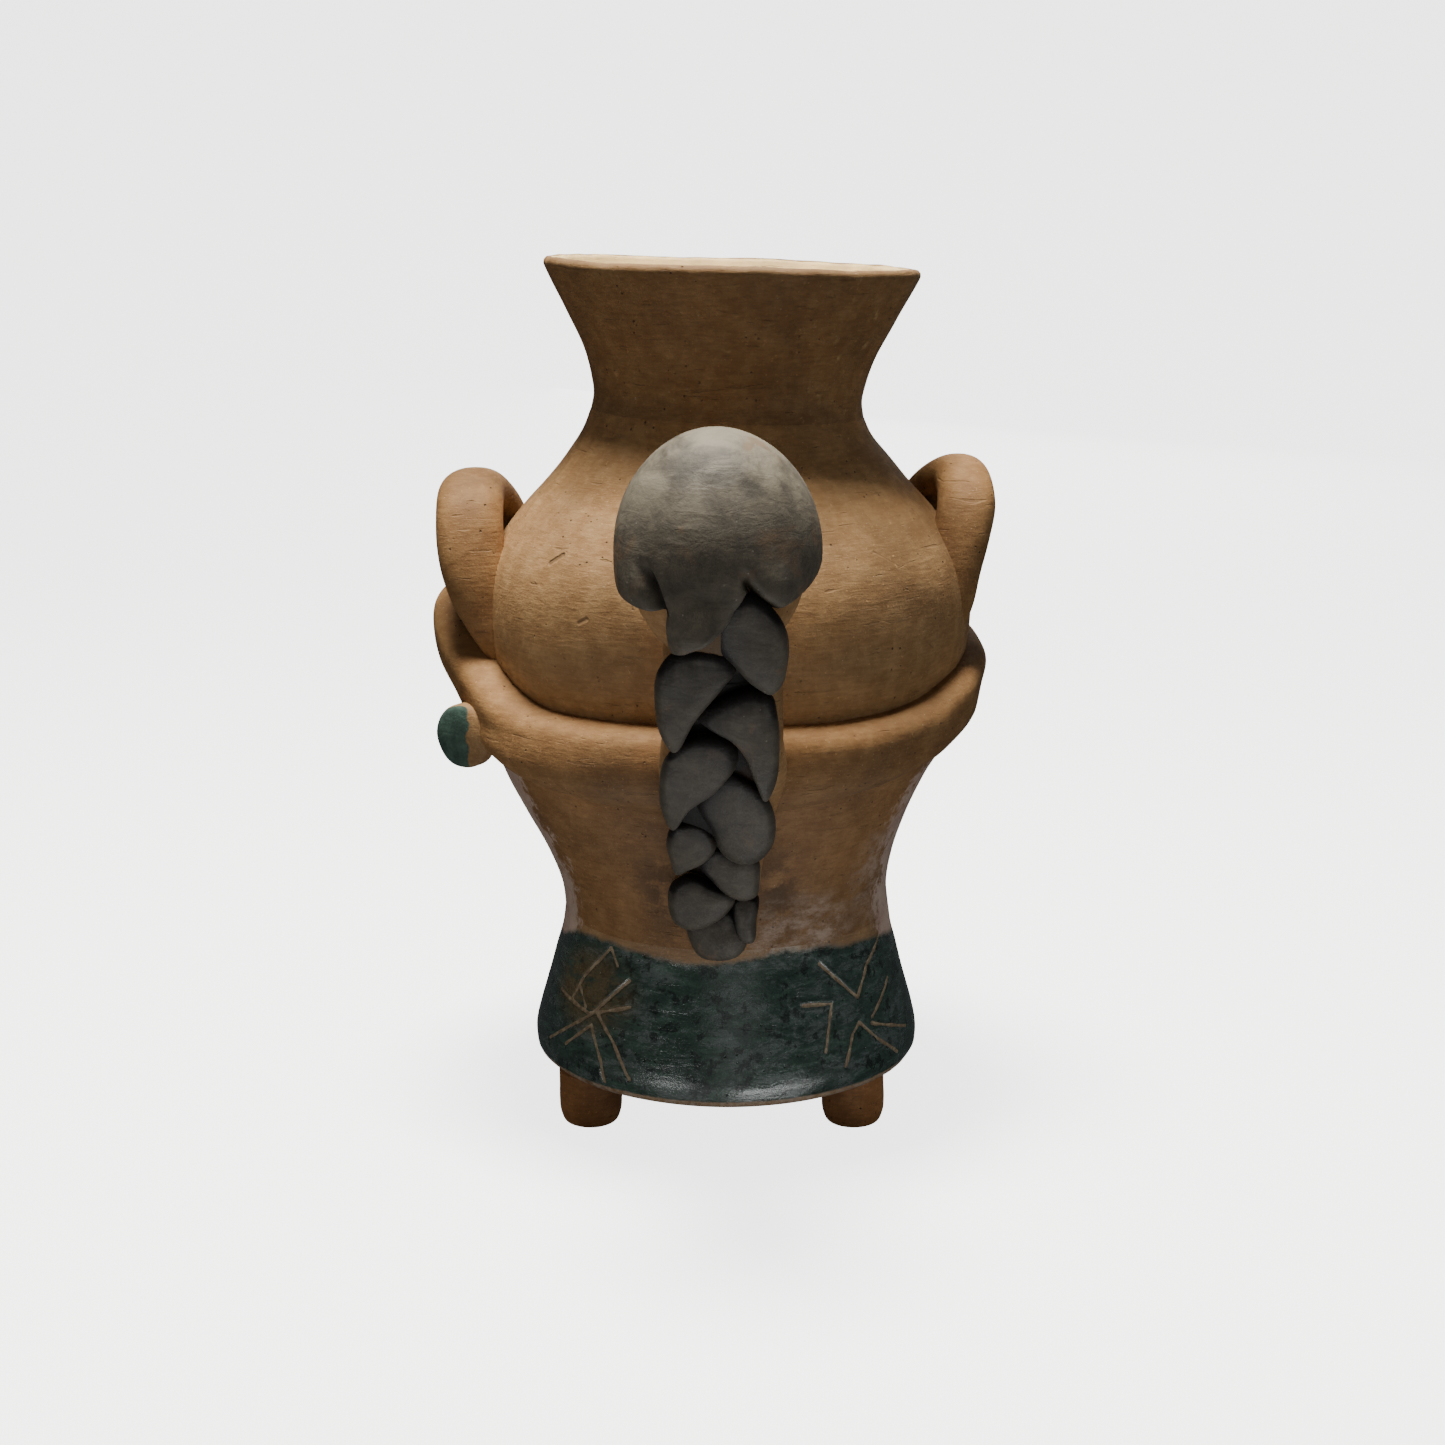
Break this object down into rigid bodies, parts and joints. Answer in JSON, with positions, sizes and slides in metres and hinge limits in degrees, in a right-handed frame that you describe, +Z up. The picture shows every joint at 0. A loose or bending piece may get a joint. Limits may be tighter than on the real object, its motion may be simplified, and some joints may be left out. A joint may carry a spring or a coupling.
{
  "type": "figural vase",
  "caption": "Clay vase in the shape of a standing figure seen with a long braid down its back, hugging a round two-handled jar with a flared neck, on stub feet.",
  "frame": {"origin": "middle of the whole vase's outline from above, at the level of the feet's undersides", "axes": "+Z up; the figure's back, the side in the picture, faces -Y; +X is to the right in the picture"},
  "size_m": [0.1966, 0.2404, 0.3002],
  "materials": {
    "terracotta": "matte, scraped and lightly burnished",
    "torso_clay": "matte behind, pinkish-white burnished slip in front",
    "neck_clay": "matte, light cream inside",
    "face_clay": "matte",
    "knob_clay": "matte, end face with green slip",
    "foot_clay": "smooth, matte",
    "hair_slip": "matte dark grey slip",
    "braid_slip": "matte dark grey slip",
    "green_slip": "burnished dark green slip, glossy, with scratched stars"
  },
  "bodies": {
    "root": {"jar_body": "terracotta", "jar_neck": "neck_clay", "torso": "torso_clay", "skirt": "green_slip", "floor_slab": "terracotta", "foot_back_left": "foot_clay", "foot_back_right": "foot_clay", "foot_front_left": "foot_clay", "foot_front_right": "foot_clay", "handle_left": "terracotta", "handle_right": "terracotta", "head": "face_clay", "neck_and_back": "terracotta", "arm_left": "terracotta", "arm_right": "terracotta", "fingers_left": "terracotta", "fingers_right": "terracotta", "thumb_left": "terracotta", "thumb_right": "terracotta", "side_knob": "knob_clay", "nose": "face_clay", "eyes": "face_clay", "lips": "face_clay", "hair_cap": "hair_slip", "hair_lobe_left": "hair_slip", "hair_lobe_right": "hair_slip", "hair_tail": "hair_slip", "braid_leaf_01": "braid_slip", "braid_leaf_02": "braid_slip", "braid_leaf_03": "braid_slip", "braid_leaf_04": "braid_slip", "braid_leaf_05": "braid_slip", "braid_leaf_06": "braid_slip", "braid_leaf_07": "braid_slip", "braid_leaf_08": "braid_slip", "braid_leaf_09": "braid_slip", "braid_tip": "braid_slip"}
  },
  "joints": []
}
